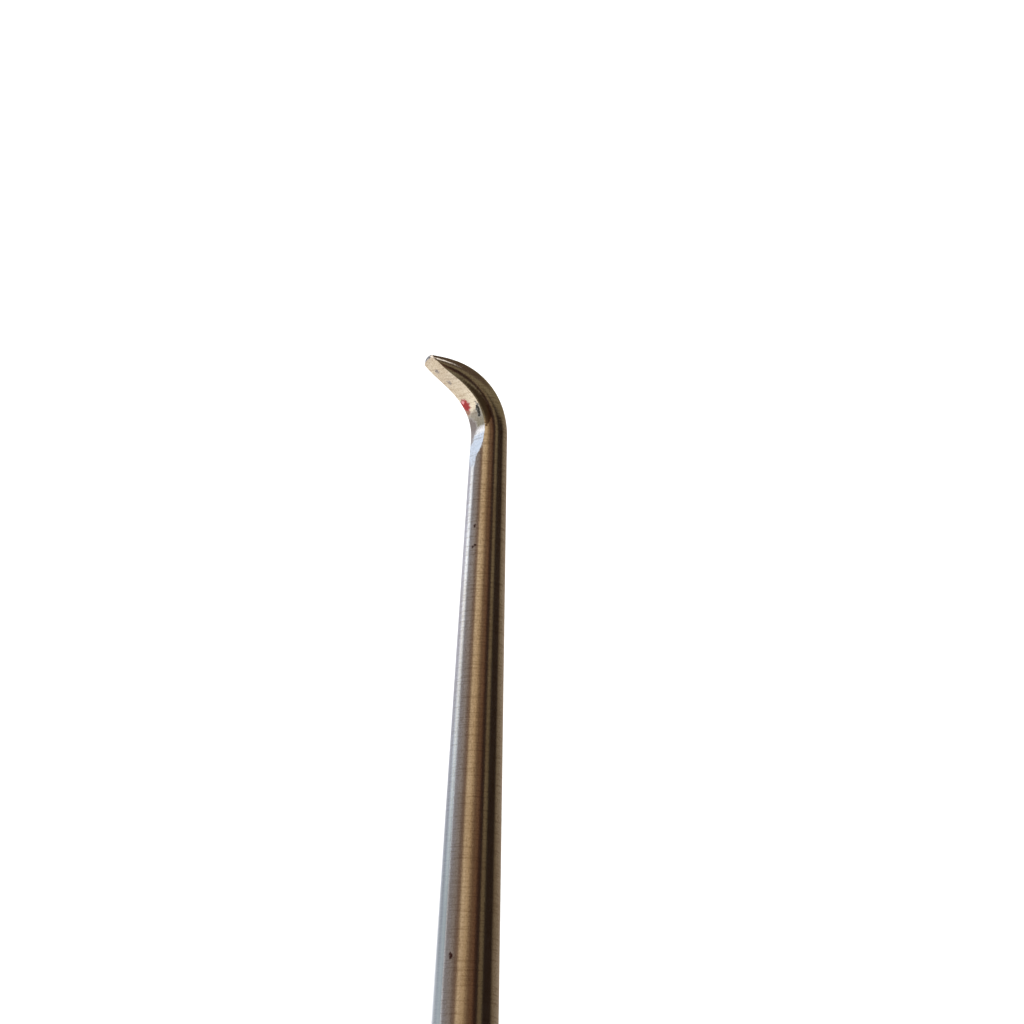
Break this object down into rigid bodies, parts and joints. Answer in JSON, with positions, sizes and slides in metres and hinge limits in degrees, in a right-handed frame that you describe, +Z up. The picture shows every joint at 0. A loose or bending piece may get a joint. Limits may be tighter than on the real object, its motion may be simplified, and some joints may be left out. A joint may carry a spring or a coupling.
{
  "type": "double-ended scriber",
  "caption": "Double-ended engineer's scriber: hooked, hollow-ground blade and straight carbide needle, held by collet chucks in a knurled handle.",
  "frame": {"origin": "on the bench, under the middle of the tool's overall length and width", "axes": "+X along the tool towards the hooked end, +Z up from the bench, +Y the way the hook points"},
  "size_m": [0.2178, 0.0174, 0.015],
  "materials": {
    "blade_steel": "ground and polished, lightly tarnished",
    "needle_steel": "ground and polished",
    "carbide": "ground tungsten carbide, dark grey",
    "grip_plate": "diamond knurled, satin nickel plate",
    "nut_plate": "diamond knurled and polished nickel plate",
    "core_steel": "turned bright steel",
    "black_oxide": "black oxide, oiled",
    "band_brass": "turned brass, dulled",
    "spring_steel": "hardened and tempered spring steel",
    "hard_steel": "hardened and ground",
    "wire_steel": "drawn spring wire",
    "seal_rubber": "black nitrile, matt"
  },
  "bodies": {
    "handle": {"handle_core": "core_steel", "grip_sleeve": "grip_plate", "centre_stop": "core_steel", "stop_pin": "hard_steel", "front_band": "band_brass", "rear_band": "band_brass", "front_hex_collar": "black_oxide", "rear_hex_collar": "black_oxide", "front_o_ring": "seal_rubber", "rear_o_ring": "seal_rubber"},
    "front_ring": {"front_closing_ring": "hard_steel"},
    "front_nut": {"front_chuck_nut": "nut_plate", "front_snap_wire": "wire_steel"},
    "rear_ring": {"rear_closing_ring": "hard_steel"},
    "rear_nut": {"rear_chuck_nut": "nut_plate", "rear_snap_wire": "wire_steel"},
    "front_collet": {"front_collet": "spring_steel"},
    "hook": {"hooked_blade": "blade_steel"},
    "rear_collet": {"rear_collet": "spring_steel"},
    "needle": {"scribing_needle": "needle_steel", "carbide_point": "carbide"}
  },
  "joints": [
    {"name": "front_ring_draw", "type": "slide", "parent": "handle", "child": "front_ring", "axis": [1, 0, 0], "range_m": [0, 0.000751]},
    {"name": "front_nut_turn", "type": "hinge", "parent": "front_ring", "child": "front_nut", "pos_m": [-0.00487, 0, 0.0075], "axis": [1, 0, 0], "range_deg": [0, 360]},
    {"name": "hook_turn", "type": "hinge", "parent": "handle", "child": "front_collet", "pos_m": [-0.00487, 0, 0.0075], "axis": [1, 0, 0], "continuous": true},
    {"name": "hook_slide", "type": "slide", "parent": "front_collet", "child": "hook", "axis": [1, 0, 0], "range_m": [-0.006, 0.02]},
    {"name": "rear_ring_draw", "type": "slide", "parent": "handle", "child": "rear_ring", "axis": [-1, 0, 0], "range_m": [0, 0.000751]},
    {"name": "rear_nut_turn", "type": "hinge", "parent": "rear_ring", "child": "rear_nut", "pos_m": [-0.00487, 0, 0.0075], "axis": [-1, 0, 0], "range_deg": [0, 360]},
    {"name": "needle_turn", "type": "hinge", "parent": "handle", "child": "rear_collet", "pos_m": [-0.00487, 0, 0.0075], "axis": [-1, 0, 0], "continuous": true},
    {"name": "needle_slide", "type": "slide", "parent": "rear_collet", "child": "needle", "axis": [-1, 0, 0], "range_m": [-0.006, 0.02]}
  ],
  "couplings": [
    {"joint": "front_ring_draw", "follows": "front_nut_turn", "m_per_rad": 0.00011937},
    {"joint": "rear_ring_draw", "follows": "rear_nut_turn", "m_per_rad": 0.00011937}
  ]
}
